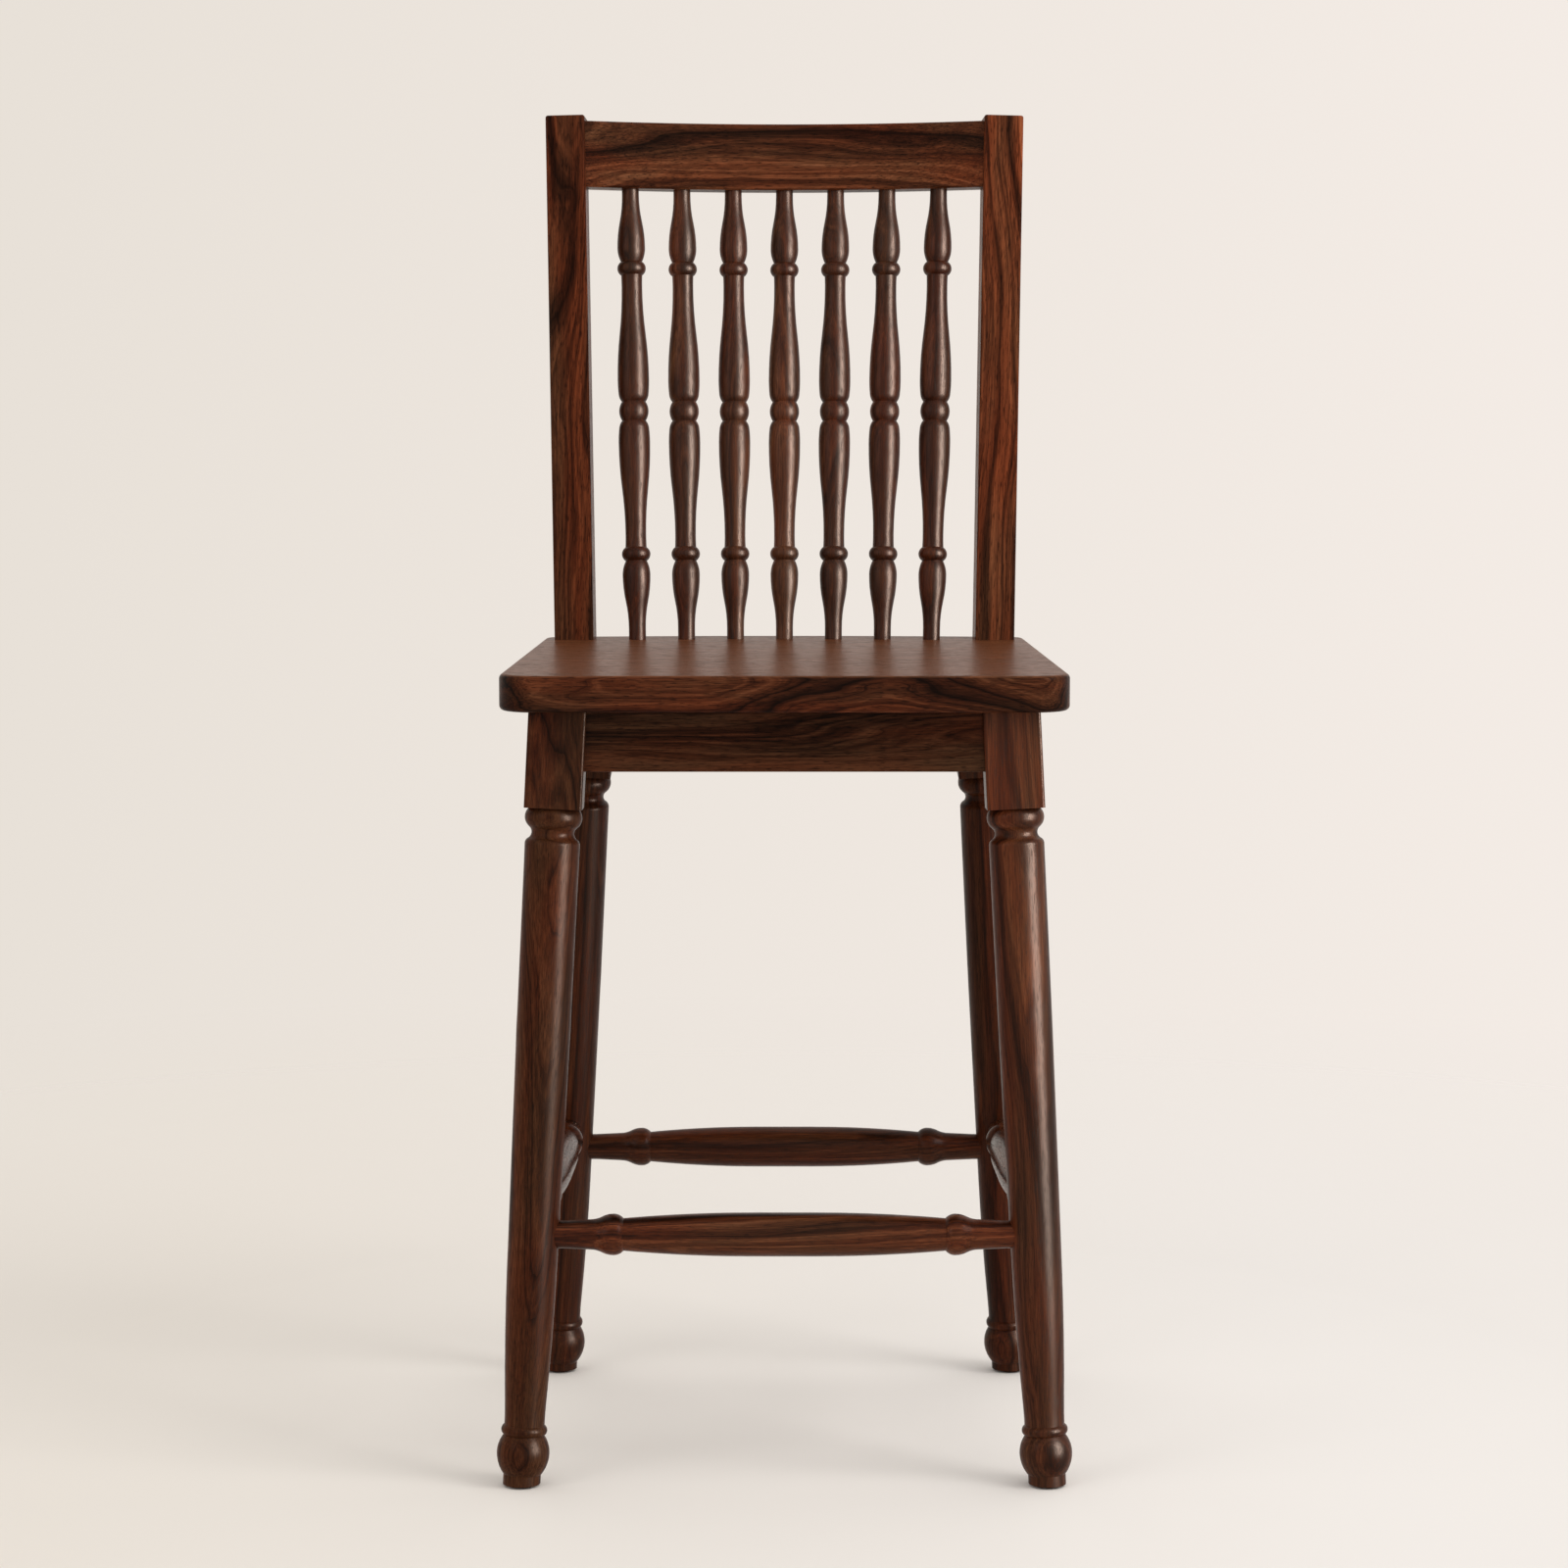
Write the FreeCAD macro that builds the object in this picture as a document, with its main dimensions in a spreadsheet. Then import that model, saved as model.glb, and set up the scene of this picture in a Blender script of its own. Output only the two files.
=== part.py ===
import FreeCAD, Part
import math
import os
import types

import Sketcher

# Driving dimensions: lengths in millimetres, angles in degrees.
SIZES = {
    # Seat panel
    "seat_height": 660,
    "seat_thickness": 29.4,
    "seat_front_width": 458.8,
    "seat_narrowing": 34.8,
    "seat_depth": 420,
    "seat_back_bow": 13,
    "seat_front_reach": 235,
    "seat_front_corner": 30,
    "seat_back_corner": 16,
    "seat_edge_round": 4,
    # Leg positions on the underside of the seat, and their lean
    "leg_front_side_inset": 47.9,
    "leg_rear_side_inset": 41.6,
    "leg_front_inset": 50,
    "leg_rear_inset": 80,
    "leg_splay": 2.9,
    "leg_front_rake": 3.3,
    "leg_rear_rake": 5.25,
    # Leg block and the turning under it
    "leg_block_width": 46.6,
    "leg_front_block_length": 80.7,
    "leg_rear_block_length": 85,
    "leg_block_arris": 2.5,
    "leg_turning_overlap": 12,
    "leg_trim_allowance": 6,
    "leg_collar_length": 15.8,
    "leg_collar_diameter": 46.4,
    "leg_collar_end_diameter": 39,
    "leg_cove_length": 9.2,
    "leg_cove_diameter": 34.4,
    "leg_shoulder_length": 4.5,
    "leg_shaft_diameter": 44.6,
    "leg_shaft_upper_length": 150,
    "leg_shaft_middle_diameter": 43.8,
    "leg_calf_length": 114,
    "leg_calf_diameter": 40.6,
    "leg_ankle_length": 16,
    "leg_ankle_top_diameter": 33.4,
    "leg_ankle_diameter": 32.6,
    "leg_ring_length": 8.2,
    "leg_ring_diameter": 37.4,
    "leg_ring_groove_diameter": 33,
    "leg_ball_upper_length": 14.8,
    "leg_ball_lower_length": 17.5,
    "leg_ball_diameter": 42.8,
    "leg_pad_length": 9.5,
    "leg_pad_diameter": 30.6,
    # Glides under the feet
    "glide_thickness": 2,
    "glide_diameter": 22,
    "glide_edge": 0.8,
    "glide_nail_diameter": 2.4,
    "glide_nail_length": 14,
    # Aprons
    "apron_height": 50.3,
    "apron_thickness": 20,
    "apron_setback": 5,
    "apron_arris": 1.5,
    "apron_tenon_length": 15,
    "apron_tenon_height": 34,
    "apron_tenon_thickness": 8,
    # Corner blocks
    "corner_block_height": 40,
    "corner_block_reach": 50,
    "corner_block_width": 36,
    # Stretchers
    "side_stretcher_height": 225,
    "front_stretcher_drop": 20.4,
    "rear_stretcher_drop": 17.3,
    "stretcher_end_gap": 7,
    "stretcher_tenon_diameter": 22.4,
    "stretcher_tenon_margin": 2,
    "stretcher_neck_reach": 46,
    "stretcher_neck_diameter": 24.4,
    "stretcher_knob_outer_length": 19,
    "stretcher_knob_inner_length": 7.8,
    "stretcher_knob_diameter": 33.6,
    "stretcher_groove_diameter": 26.4,
    "stretcher_barrel_length": 50,
    "stretcher_barrel_diameter": 35.5,
    # Back posts
    "post_side_inset": 27.5,
    "post_rear_inset": 9,
    "post_width": 34.5,
    "post_thickness": 30,
    "post_length": 460.4,
    "post_arris": 2.5,
    "post_top_round": 2,
    "post_lean": 6,
    "post_splay": 1,
    "post_turn": 3.2,
    "post_tenon_width": 24,
    "post_tenon_thickness": 16,
    "post_tenon_length": 18,
    # Crest rail
    "rail_height": 58.4,
    "rail_thickness": 22,
    "rail_drop": 4.4,
    "rail_bow": 21.5,
    "rail_edge_round": 2.5,
    "rail_tenon_length": 14,
    "rail_tenon_height": 40,
    "rail_tenon_thickness": 9,
    # Spindles
    "spindle_end_gap": 55,
    "spindle_row_radius": 1050,
    "spindle_seat_socket": 18,
    "spindle_rail_socket": 23,
    "spindle_neck_length": 28,
    "spindle_neck_diameter": 15,
    "spindle_vase_taper": 47,
    "spindle_vase_diameter": 24.5,
    "spindle_vase_shoulder": 12.3,
    "spindle_ring_groove_diameter": 18.7,
    "spindle_ring_diameter": 25.2,
    "spindle_ring_length": 12,
    "spindle_waist_flare": 10.8,
    "spindle_waist_diameter": 18.2,
    "spindle_belly_diameter": 27.8,
    "spindle_belly_rise": 13,
    "spindle_shoulder_diameter": 26.4,
    "spindle_shoulder_length": 6.4,
    "spindle_groove_diameter": 21,
    "spindle_middle_bead_length": 16.8,
    "spindle_middle_bead_diameter": 26,
    # Wood screws
    "screw_diameter": 4.5,
    "screw_head_diameter": 9,
    "screw_head_height": 3,
    "screw_point_length": 6,
    "seat_screw_length": 46,
    "seat_screw_bite": 18,
    "block_screw_length": 24,
    "block_screw_bite": 14,
    "post_screw_length": 62,
    "post_screw_spacing": 13,
    "post_screw_recess": 2,
    # Slack around tenons, nails and screws
    "joint_clearance": 0.1,
}

SPINDLE_COUNT = 7
SIDES = (("left", -1), ("right", 1))
# Edges this close to a level or a line, in millimetres, count as lying on it.
EDGE_TOLERANCE = 0.01


# Sizes and places as numbers with their formulas

class Size:
    """A number kept together with its formula on the size sheet."""

    def __init__(self, value, formula):
        self.value = value
        self.formula = formula

    def __add__(self, other):
        other = as_size(other)
        return Size(self.value + other.value, f"({self.formula} + {other.formula})")

    def __sub__(self, other):
        other = as_size(other)
        return Size(self.value - other.value, f"({self.formula} - {other.formula})")

    def __mul__(self, other):
        other = as_size(other)
        return Size(self.value * other.value, f"({self.formula} * {other.formula})")

    def __truediv__(self, other):
        other = as_size(other)
        return Size(self.value / other.value, f"({self.formula} / {other.formula})")

    def __neg__(self):
        return self * -1


def as_size(number):
    if isinstance(number, Size):
        return number
    return Size(float(number), f"({float(number)})")


def sine(angle):
    return Size(math.sin(math.radians(angle.value)), f"sin({angle.formula})")


def cosine(angle):
    return Size(math.cos(math.radians(angle.value)), f"cos({angle.formula})")


def tangent(angle):
    return Size(math.tan(math.radians(angle.value)), f"tan({angle.formula})")


def square_root(number):
    return Size(math.sqrt(number.value), f"sqrt({number.formula})")


def angle_of(rise, run):
    degrees = math.degrees(math.atan(rise.value / run.value))
    return Size(degrees, f"(atan({rise.formula} / {run.formula}) / 1 deg)")


class Frame:
    """A place and direction on the stool, as a formula of the sizes."""

    def __init__(self, formula="placement(vector(0; 0; 0); rotationx(0))"):
        self.formula = formula

    def moved(self, x, y, z):
        step = "; ".join(as_size(number).formula for number in (x, y, z))
        return Frame(f"{self.formula} * placement(vector({step}); rotationx(0))")

    def turned(self, axis, angle):
        turn = f"rotation{axis}({as_size(angle).formula})"
        return Frame(f"{self.formula} * placement(vector(0; 0; 0); {turn})")


ZERO = as_size(0)
FLOOR = Frame()
QUARTER_TURN = 90

doc = FreeCAD.newDocument("spindle_back_bar_stool")
sheet = doc.addObject("Spreadsheet::Sheet", "sizes")
for row, (alias, number) in enumerate(SIZES.items(), start=1):
    sheet.set(f"A{row}", alias)
    sheet.set(f"B{row}", str(number))
    sheet.setAlias(f"B{row}", alias)
doc.recompute()
size = types.SimpleNamespace(
    **{alias: Size(float(sheet.get(alias)), f"sizes.{alias}") for alias in SIZES})


# Shared makers of plain shapes and cuts

def bind(item, **sizes):
    for name, value in sizes.items():
        item.setExpression(name, value.formula)
    return item


def place(item, frame):
    item.setExpression("Placement", frame.formula)
    return item


def bar(name, frame, length, width, height):
    """A square-edged bar centred on its frame."""
    item = bind(doc.addObject("Part::Box", name), Length=length, Width=width, Height=height)
    return place(item, frame.moved(length / -2, width / -2, height / -2))


def rod(name, frame, diameter, length):
    """A round rod that starts at its frame and runs along its upright axis."""
    item = bind(doc.addObject("Part::Cylinder", name), Radius=diameter / 2, Height=length)
    return place(item, frame)


def fuse(name, items):
    item = doc.addObject("Part::MultiFuse", name)
    item.Shapes = items
    item.Refine = True
    return item


def cut(name, base, tools):
    item = doc.addObject("Part::Cut", name)
    item.Base = base
    item.Tool = tools[0] if len(tools) == 1 else fuse(name + "_tools", tools)
    item.Refine = True
    return item


def common(name, base, tool):
    item = doc.addObject("Part::Common", name)
    item.Base = base
    item.Tool = tool
    return item


def group(name, items):
    item = doc.addObject("Part::Compound", name)
    item.Links = items
    return item


def new_body(name, frame):
    return place(doc.addObject("PartDesign::Body", name), frame)


def new_sketch(body, name, plane):
    sketch = body.newObject("Sketcher::SketchObject", name)
    support = next(item for item in body.Origin.OriginFeatures if item.Role == plane)
    sketch.AttachmentSupport = [(support, "")]
    sketch.MapMode = "FlatFace"
    return sketch


def pad(body, sketch, length):
    feature = body.newObject("PartDesign::Pad", sketch.Name + "_pad")
    feature.Profile = sketch
    return bind(feature, Length=length)


def round_edges(body, base, radius, chosen):
    """Rounds the edges of a feature that the chosen test picks."""
    doc.recompute()
    names = [f"Edge{number}" for number, edge in enumerate(base.Shape.Edges, start=1) if chosen(edge)]
    feature = body.newObject("PartDesign::Fillet", base.Name + "_round")
    feature.Base = (base, names)
    return bind(feature, Radius=radius)


class Outline:
    """A closed sketch of lines and arcs whose corners are pinned to sizes."""

    ORIGIN = (-1, 1)
    ACROSS_AXIS = -1
    UPRIGHT_AXIS = -2
    CENTRE = 3

    def __init__(self, body, name, plane, across, along):
        self.sketch = new_sketch(body, name, plane)
        self.curves = []
        self.guides = []
        self.rules = []
        self.formulas = []
        self.start = (across, along)
        self.first_end = None
        self.here = self.point(across, along)
        self.end = None
        self.heading = None

    def point(self, across, along):
        return FreeCAD.Vector(across.value, along.value, 0)

    def rule(self, *parts, formula=None):
        if formula is not None:
            self.formulas.append((len(self.rules), formula))
        self.rules.append(Sketcher.Constraint(*parts))

    def pin(self, curve, end, across, along):
        if across is ZERO:
            self.rule("PointOnObject", curve, end, self.UPRIGHT_AXIS)
        else:
            self.rule("DistanceX", *self.ORIGIN, curve, end, across.value, formula=across.formula)
        if along is ZERO:
            self.rule("PointOnObject", curve, end, self.ACROSS_AXIS)
        else:
            self.rule("DistanceY", *self.ORIGIN, curve, end, along.value, formula=along.formula)

    def join(self, curve, first, last, across, along, smooth=False):
        """Ties a new curve to the end of the outline and pins its far end."""
        if self.end is None:
            self.first_end = (curve, first)
            self.pin(curve, first, *self.start)
        else:
            self.rule("Tangent" if smooth else "Coincident", *self.end, curve, first)
        closing = across is self.start[0] and along is self.start[1]
        if closing:
            self.rule("Coincident", curve, last, *self.first_end)
        else:
            self.pin(curve, last, across, along)
        self.end = (curve, last)
        self.here = self.point(across, along)

    def line_to(self, across, along):
        goal = self.point(across, along)
        self.heading = (goal - self.here).normalize()
        self.curves.append(Part.LineSegment(self.here, goal))
        self.join(len(self.curves) - 1, 1, 2, across, along)

    def arc_to(self, across, along, centre, smooth=False):
        goal = self.point(across, along)
        out = self.here - centre
        back = goal - centre
        angles = [math.atan2(out.y, out.x), math.atan2(back.y, back.x)]
        forward = out.cross(back).z > 0
        circle = Part.Circle(centre, FreeCAD.Vector(0, 0, 1), out.Length)
        ends = angles if forward else angles[::-1]
        self.curves.append(Part.ArcOfCircle(circle, *ends))
        turn = FreeCAD.Vector(-back.y, back.x, 0) if forward else FreeCAD.Vector(back.y, -back.x, 0)
        self.heading = turn.normalize()
        first, last = (1, 2) if forward else (2, 1)
        self.join(len(self.curves) - 1, first, last, across, along, smooth)
        return first, last

    def level_centre(self, upright, other):
        """Centre of the arc that is upright at one of its two end points."""
        across = upright.x - other.x
        along = upright.y - other.y
        return FreeCAD.Vector(upright.x - (across ** 2 + along ** 2) / (2 * across), upright.y, 0)

    def leave_upright(self, across, along):
        """An arc that sets off parallel to the upright axis."""
        centre = self.level_centre(self.here, self.point(across, along))
        first = self.arc_to(across, along, centre)[0]
        curve = len(self.curves) - 1
        self.rule("Horizontal", curve, self.CENTRE, curve, first)

    def arrive_upright(self, across, along):
        """An arc that arrives parallel to the upright axis."""
        centre = self.level_centre(self.point(across, along), self.here)
        last = self.arc_to(across, along, centre)[1]
        curve = len(self.curves) - 1
        self.rule("Horizontal", curve, self.CENTRE, curve, last)

    def flow_to(self, across, along):
        """An arc that carries on smoothly from the curve before it."""
        chord = self.point(across, along) - self.here
        normal = FreeCAD.Vector(-self.heading.y, self.heading.x, 0)
        centre = self.here + normal * (chord.Length ** 2 / (2 * normal.dot(chord)))
        self.arc_to(across, along, centre, smooth=True)

    def swell_to(self, start, across, along):
        """An S curve of two equal arcs, upright at both ends."""
        middle = [(one + other) / 2 for one, other in zip(start, (across, along))]
        self.leave_upright(*middle)
        self.arrive_upright(across, along)

    def bulge_to(self, across, along, crown, crown_along):
        """An arc through a crown point, for beads, coves and bowed edges."""
        through = self.point(crown, crown_along)
        edge = Part.Arc(self.here, through, self.point(across, along)).toShape()
        self.arc_to(across, along, edge.Curve.Center)
        self.guides.append((len(self.curves) - 1, through, crown, crown_along))

    def draw(self):
        for curve, through, across, along in self.guides:
            guide = len(self.curves)
            self.curves.append(Part.Point(through))
            self.pin(guide, 1, across, along)
            self.rule("PointOnObject", guide, 1, curve)
        marks = len(self.curves) - len(self.guides)
        self.sketch.addGeometry(self.curves[:marks], False)
        if self.guides:
            self.sketch.addGeometry(self.curves[marks:], True)
        self.sketch.addConstraint(self.rules)
        for index, formula in self.formulas:
            self.sketch.setExpression(f"Constraints[{index}]", formula)
        return self.sketch


def turn(body, outline):
    """Spins a half outline about the upright axis of its sketch."""
    sketch = outline.draw()
    feature = body.newObject("PartDesign::Revolution", body.Name + "_turning")
    feature.Profile = sketch
    feature.ReferenceAxis = (sketch, ["V_Axis"])
    feature.Angle = 360
    return feature


def mirror(body, half):
    """Doubles a half piece across the level plane of its body."""
    feature = body.newObject("PartDesign::Mirrored", body.Name + "_mirror")
    plane = next(item for item in body.Origin.OriginFeatures if item.Role == "XY_Plane")
    feature.Originals = [half]
    feature.MirrorPlane = (plane, [""])
    body.Tip = feature


def rounded_rectangle(body, name, width, depth, radius):
    """A sketch of a rectangle with round corners, centred on the body's axis."""
    sketch = new_sketch(body, name, "XY_Plane")
    across = width.value / 2
    along = depth.value / 2
    inset = radius.value
    corners = ((1, -1), (1, 1), (-1, 1), (-1, -1))
    curves = []
    for number, (right, up) in enumerate(corners):
        last_right, last_up = corners[number - 1]
        level = right != last_right
        reach = across - inset * level
        rise = along - inset * (not level)
        start = FreeCAD.Vector(last_right * reach, last_up * rise, 0)
        goal = FreeCAD.Vector(right * reach, up * rise, 0)
        centre = FreeCAD.Vector(right * (across - inset), up * (along - inset), 0)
        circle = Part.Circle(centre, FreeCAD.Vector(0, 0, 1), inset)
        opening = (number - 1) * math.pi / 2
        curves.append(Part.LineSegment(start, goal))
        curves.append(Part.ArcOfCircle(circle, opening, opening + math.pi / 2))
    sketch.addGeometry(curves, False)
    front, front_right, right, back_right, back, back_left, left, front_left = range(len(curves))
    rules = []
    for curve in range(len(curves)):
        rules.append(Sketcher.Constraint("Tangent", curve, 2, (curve + 1) % len(curves), 1))
    rules += [Sketcher.Constraint("Horizontal", line) for line in (front, back)]
    rules += [Sketcher.Constraint("Vertical", line) for line in (right, left)]
    rules += [Sketcher.Constraint("Equal", front_right, arc) for arc in (back_right, back_left, front_left)]
    rules.append(Sketcher.Constraint("Symmetric", front, 1, back, 1, -1, 1))
    measured = len(rules)
    rules.append(Sketcher.Constraint("Radius", front_right, radius.value))
    rules.append(Sketcher.Constraint("DistanceX", left, 1, right, 1, width.value))
    rules.append(Sketcher.Constraint("DistanceY", front, 1, back, 1, depth.value))
    sketch.addConstraint(rules)
    for offset, value in enumerate((radius, width, depth)):
        sketch.setExpression(f"Constraints[{measured + offset}]", value.formula)
    return sketch


parts = {}


def finish(name, item):
    """Names a finished piece of the stool."""
    item.Label = name
    parts[name] = item


# Places that several pieces share

seat_underside = size.seat_height - size.seat_thickness
seat_front = -size.seat_front_reach
seat_back = seat_front + size.seat_depth
seat_back_width = size.seat_front_width - size.seat_narrowing
leg_front_spread = size.seat_front_width - size.leg_front_side_inset * 2
leg_rear_spread = seat_back_width - size.leg_rear_side_inset * 2
front_leg_row = seat_front + size.leg_front_inset
rear_leg_row = seat_back - size.leg_rear_inset
leg_row_spacing = size.seat_depth - size.leg_front_inset - size.leg_rear_inset
post_spread = seat_back_width - size.post_side_inset * 2
post_row = seat_back - size.post_rear_inset - size.post_thickness / 2


class LegAxis:
    """The sloping centre line of one leg."""

    def __init__(self, side, spread, row, rake, block_length):
        self.top_across = spread / 2 * side
        self.row = row
        self.lean_across = size.leg_splay * -side
        self.lean_along = rake
        self.block_length = block_length
        self.stretch = cosine(self.lean_along) * cosine(self.lean_across)

    def across(self, height):
        return self.top_across + (height - seat_underside) * tangent(self.lean_across)

    def along(self, height):
        slope = tangent(self.lean_along) / cosine(self.lean_across)
        return self.row - (height - seat_underside) * slope

    def frame(self, height):
        spot = FLOOR.moved(self.across(height), self.along(height), height)
        return spot.turned("y", self.lean_across).turned("x", self.lean_along)


legs = {}
for side_name, side in SIDES:
    legs["front_" + side_name] = LegAxis(
        side, leg_front_spread, front_leg_row, -size.leg_front_rake, size.leg_front_block_length)
    legs["rear_" + side_name] = LegAxis(
        side, leg_rear_spread, rear_leg_row, size.leg_rear_rake, size.leg_rear_block_length)

leg_cuts = {name: [] for name in legs}
seat_cuts = []


# Aprons: boards with a tenon at each end in the leg blocks

leg_blocks = {}
for leg_name, axis in legs.items():
    leg_blocks[leg_name] = bar(
        f"{leg_name}_block_space", axis.frame(seat_underside),
        size.leg_block_width, size.leg_block_width, axis.block_length * 2)


def make_apron(name, frame, length, ends, tenon_reach):
    """A board centred on its frame, cut to the leg blocks and tenoned into them."""
    body = new_body(f"{name}_board", frame.moved(length / -2, 0, 0).turned("y", QUARTER_TURN))
    section = rounded_rectangle(
        body, f"{name}_section", size.apron_height, size.apron_thickness, size.apron_arris)
    pad(body, section, length)
    shouldered = cut(f"{name}_shouldered", body, [leg_blocks[end] for end in ends])
    tenons = bar(f"{name}_tenons", frame, tenon_reach, size.apron_tenon_thickness, size.apron_tenon_height)
    slack = size.joint_clearance * 2
    mortises = bar(
        f"{name}_mortises", frame, tenon_reach + slack,
        size.apron_tenon_thickness + slack, size.apron_tenon_height + slack)
    for end in ends:
        leg_cuts[end].append(mortises)
    finish(name, fuse(f"{name}_piece", [shouldered, tenons]))


apron_level = seat_underside - size.apron_height / 2
apron_inset = size.leg_block_width / 2 - size.apron_setback - size.apron_thickness / 2
tenon_past_axis = size.apron_tenon_length - size.leg_block_width / 2
for row_name, row, spread, outward in (
        ("front", front_leg_row, leg_front_spread, -1),
        ("rear", rear_leg_row, leg_rear_spread, 1)):
    make_apron(
        f"apron_{row_name}", FLOOR.moved(0, row + apron_inset * outward, apron_level), spread,
        (f"{row_name}_left", f"{row_name}_right"), spread + tenon_past_axis * 2)

side_front_across = leg_front_spread / 2 + apron_inset
side_rear_across = leg_rear_spread / 2 + apron_inset
side_narrowing = side_front_across - side_rear_across
side_apron_length = square_root(leg_row_spacing * leg_row_spacing + side_narrowing * side_narrowing)
side_apron_turn = angle_of(side_narrowing, leg_row_spacing)
side_apron_middle = front_leg_row + leg_row_spacing / 2
for side_name, side in SIDES:
    middle = (side_front_across + side_rear_across) / 2 * side
    frame = FLOOR.moved(middle, side_apron_middle, apron_level)
    make_apron(
        f"apron_{side_name}", frame.turned("z", side_apron_turn * side + QUARTER_TURN), side_apron_length,
        (f"front_{side_name}", f"rear_{side_name}"), side_apron_length + tenon_past_axis * 2)


# Wood screws: a point, a plain shank and a countersunk head

def make_screw(name, frame, length):
    """A screw whose point lies at the frame and whose head faces along its upright axis."""
    body = new_body(name, frame)
    shank = size.screw_diameter / 2
    outline = Outline(body, f"{name}_outline", "XZ_Plane", ZERO, ZERO)
    outline.line_to(shank, size.screw_point_length)
    outline.line_to(shank, length - size.screw_head_height)
    outline.line_to(size.screw_head_diameter / 2, length)
    outline.line_to(ZERO, length)
    outline.line_to(*outline.start)
    turn(body, outline)
    return body


def make_screw_hole(name, frame, length, head_room):
    """The hole for a screw, with a wider bore that lets its head in."""
    slack = size.joint_clearance * 2
    shank = rod(f"{name}_shank_bore", frame.moved(0, 0, -size.joint_clearance),
                size.screw_diameter + slack, length)
    head = rod(f"{name}_head_bore", frame.moved(0, 0, length - size.screw_head_height - size.joint_clearance),
               size.screw_head_diameter + slack, size.screw_head_height + head_room)
    return fuse(f"{name}_bore", [shank, head])


# Corner blocks: diagonal braces glued and screwed inside the apron corners

side_apron_slope = side_narrowing / leg_row_spacing
half_apron_across = size.apron_thickness / 2 / cosine(side_apron_turn)


def side_apron_inside(along):
    """Distance from the middle of the stool to the inner face of a side apron."""
    return side_front_across - half_apron_across - (along - front_leg_row) * side_apron_slope


seat_screws = []
corner_block_screws = []
apron_cuts = {"apron_front": [], "apron_rear": [], "apron_left": [], "apron_right": []}
for row_name, row, inward in (("front", front_leg_row, 1), ("rear", rear_leg_row, -1)):
    face = row - (apron_inset - size.apron_thickness / 2) * inward
    near = size.corner_block_reach
    far = near + size.corner_block_width
    middle = near + size.corner_block_width / 2
    for side_name, side in SIDES:
        corner = f"{row_name}_{side_name}"
        body = new_body(f"{corner}_brace", FLOOR.moved(0, 0, seat_underside - size.corner_block_height))
        corner_across = side_apron_inside(face)
        outline = Outline(
            body, f"{corner}_brace_outline", "XY_Plane", (corner_across - near) * side, face)
        outline.line_to((corner_across - far) * side, face)
        for reach in (far, near):
            along = face + reach * inward
            outline.line_to(side_apron_inside(along) * side, along)
        outline.line_to(*outline.start)
        pad(body, outline.draw(), size.corner_block_height)

        level = seat_underside - size.corner_block_height / 2
        into_row = FLOOR.moved((corner_across - middle) * side, face - size.block_screw_bite * inward, level)
        into_row = into_row.turned("x", -QUARTER_TURN * inward)
        side_along = face + middle * inward
        into_side = FLOOR.moved(
            (side_apron_inside(side_along) + size.block_screw_bite) * side, side_along, level)
        into_side = into_side.turned("y", -QUARTER_TURN * side)
        up_along = face + middle / 2 * inward
        up_across = (corner_across + side_apron_inside(side_along)) / 2 - middle / 2
        into_seat = FLOOR.moved(up_across * side, up_along, seat_underside + size.seat_screw_bite)
        into_seat = into_seat.turned("x", QUARTER_TURN * 2)

        row_screw = f"{corner}_row_screw"
        side_screw = f"{corner}_side_screw"
        seat_screw = f"{corner}_seat_screw"
        row_hole = make_screw_hole(row_screw, into_row, size.block_screw_length, size.corner_block_width)
        side_hole = make_screw_hole(side_screw, into_side, size.block_screw_length, size.corner_block_width)
        seat_hole = make_screw_hole(seat_screw, into_seat, size.seat_screw_length, size.corner_block_height)
        corner_block_screws.append(make_screw(row_screw, into_row, size.block_screw_length))
        corner_block_screws.append(make_screw(side_screw, into_side, size.block_screw_length))
        seat_screws.append(make_screw(seat_screw, into_seat, size.seat_screw_length))
        apron_cuts[f"apron_{row_name}"].append(row_hole)
        apron_cuts[f"apron_{side_name}"].append(side_hole)
        seat_cuts.append(seat_hole)
        finish(f"corner_block_{corner}",
               cut(f"{corner}_corner_piece", body, [row_hole, side_hole, seat_hole]))

for name, holes in apron_cuts.items():
    finish(name, cut(f"{name}_drilled", parts[name], holes))
finish("seat_screws", group("seat_screw_set", seat_screws))
finish("corner_block_screws", group("corner_block_screw_set", corner_block_screws))


# Stretchers: turned rails whose round ends sit in sockets in the legs

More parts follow.
